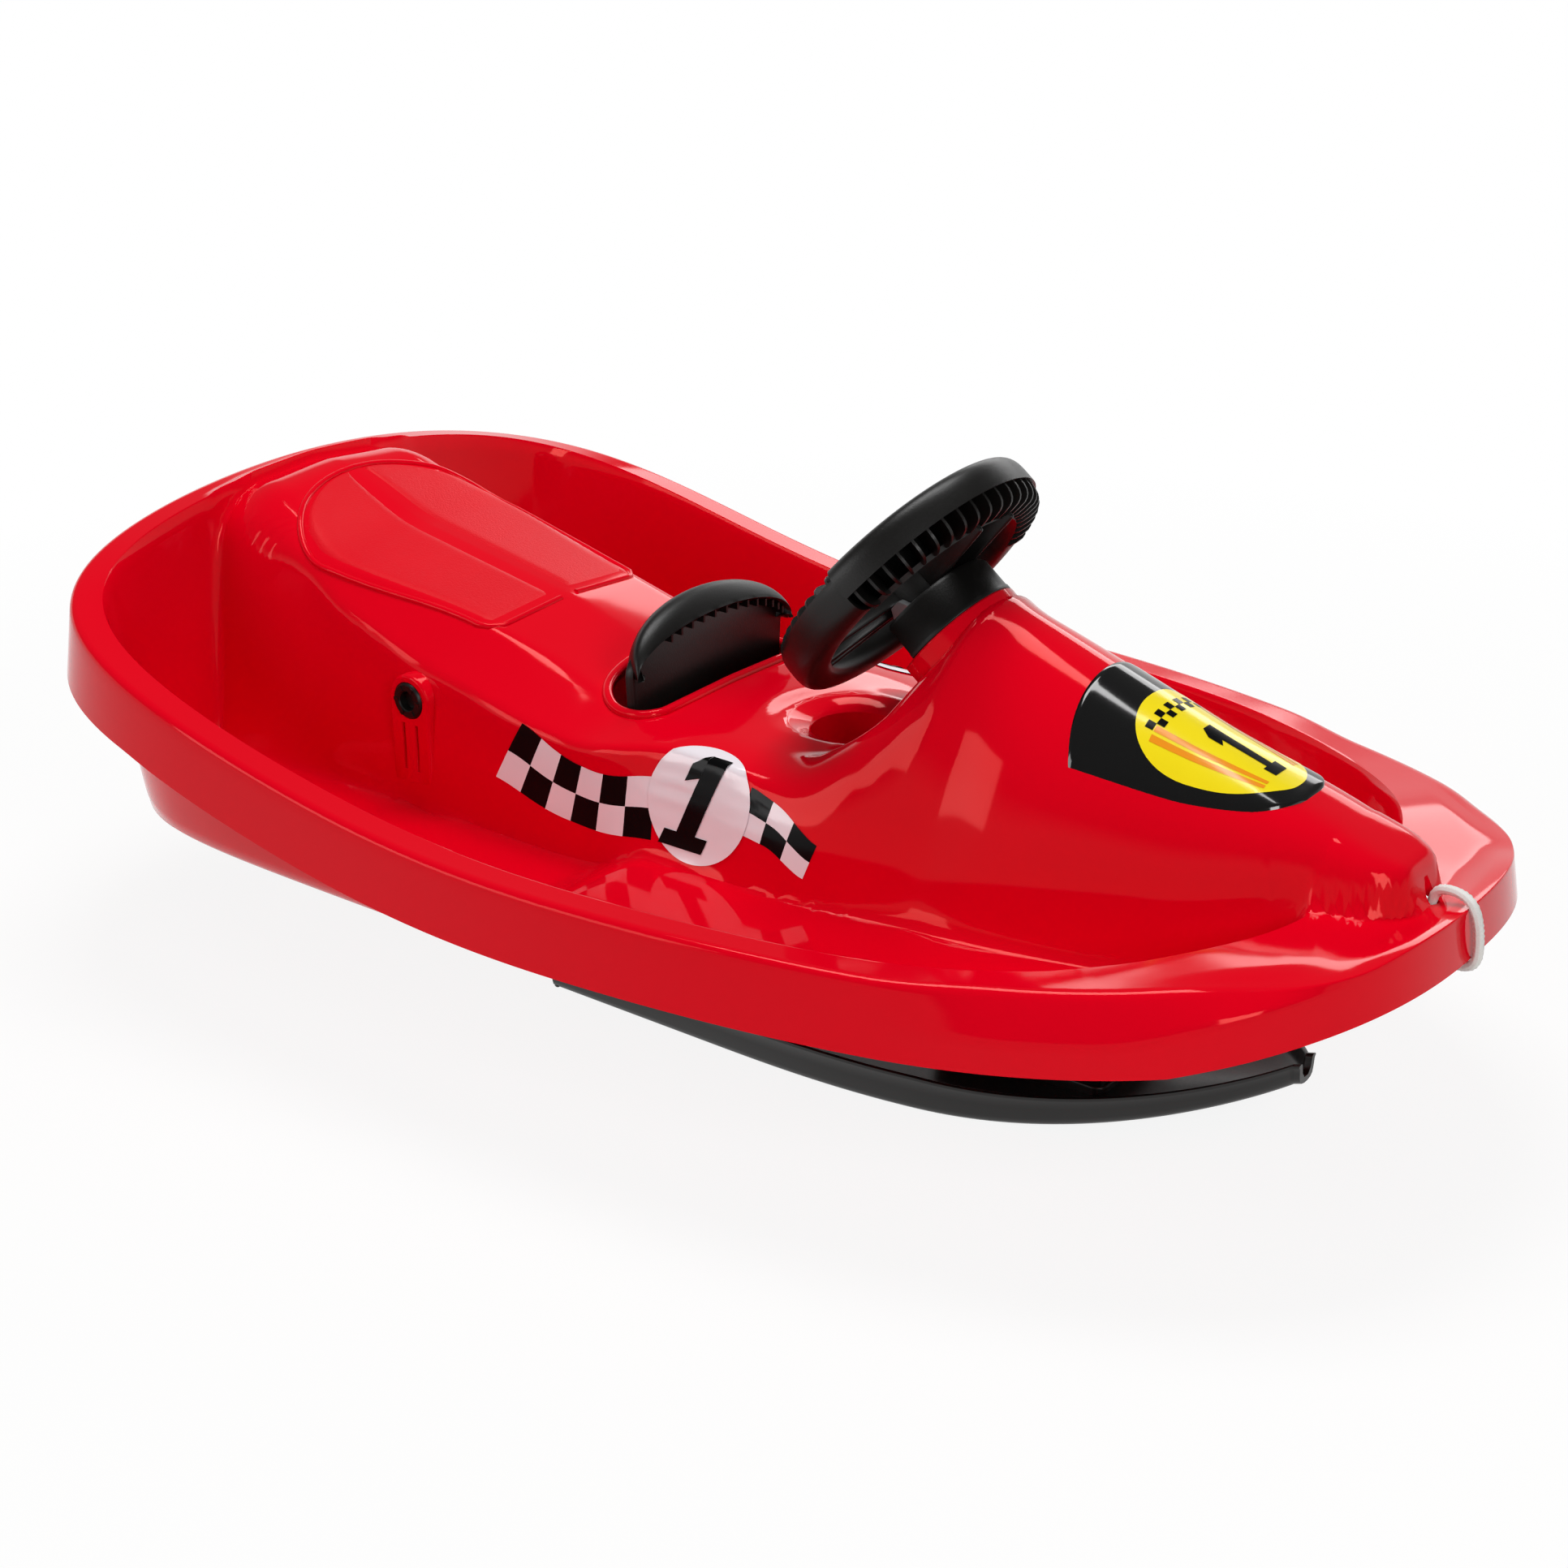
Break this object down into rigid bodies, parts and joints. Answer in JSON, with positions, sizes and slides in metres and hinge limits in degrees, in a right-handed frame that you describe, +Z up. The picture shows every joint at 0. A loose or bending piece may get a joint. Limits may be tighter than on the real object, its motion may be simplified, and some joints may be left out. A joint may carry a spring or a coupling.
{
  "type": "steering sled",
  "caption": "Moulded plastic snow sled with a seat hump, cup hole, steering wheel that turns a front ski, pull-up claw brake and tow rope.",
  "frame": {"origin": "on the snow below the middle of the hull", "axes": "+X to the nose, +Y to the rider's left, +Z up"},
  "size_m": [0.9697, 0.598, 0.3741],
  "materials": {
    "red_moulding": "gloss",
    "black_moulding": "satin",
    "grip_rubber": "grained",
    "badge_gloss": "gloss",
    "black_steel": "satin",
    "zinc_steel": "bright",
    "bush_nylon": "plain",
    "rope_white": "braided",
    "tie_black": "plain"
  },
  "bodies": {
    "hull": {"body_shell": "red_moulding", "column_bush_upper": "bush_nylon", "column_bush_lower": "bush_nylon", "steering_bridge": "black_steel", "bridge_screws": "zinc_steel", "king_pin": "zinc_steel", "king_pin_washer": "zinc_steel", "king_pin_nut": "zinc_steel", "rear_ski": "black_moulding", "rear_ski_bracket_rear": "black_steel", "rear_ski_bracket_front": "black_steel", "bracket_screws": "zinc_steel", "rear_ski_screws": "zinc_steel", "brake_axle": "zinc_steel", "axle_plugs": "black_moulding", "nose_badge": "badge_gloss", "tow_rope": "rope_white", "rope_stop_knot": "rope_white", "rope_coil": "rope_white", "rope_end_knot": "rope_white", "rope_tie": "tie_black"},
    "steering": {"steering_column": "black_steel", "steering_wheel": "black_moulding", "wheel_grip": "grip_rubber", "wheel_cap": "black_moulding", "wheel_shroud": "black_moulding", "wheel_bolt": "zinc_steel", "wheel_nut": "zinc_steel", "crank_arm": "black_steel", "crank_ball": "zinc_steel"},
    "steering_ski": {"front_ski": "black_moulding", "ski_mount": "black_moulding", "ski_mount_screws": "zinc_steel"},
    "brake": {"brake_lever": "black_moulding", "brake_claw": "zinc_steel", "claw_screws": "zinc_steel"}
  },
  "joints": [
    {"name": "steering_turn", "type": "hinge", "parent": "hull", "child": "steering", "pos_m": [0.127, 0, 0.263], "axis": [-0.7771, 0, 0.6293], "range_deg": [-45, 45]},
    {"name": "ski_swing", "type": "hinge", "parent": "hull", "child": "steering_ski", "pos_m": [0.21084, 0, 0.05], "axis": [0, 0, 1], "range_deg": [-22.5, 22.5]},
    {"name": "brake_pull", "type": "hinge", "parent": "hull", "child": "brake", "pos_m": [-0.236, 0, 0.175], "axis": [0, -1, 0], "range_deg": [0, 10]}
  ],
  "couplings": [
    {"joint": "ski_swing", "follows": "steering_turn", "ratio": 0.5}
  ]
}
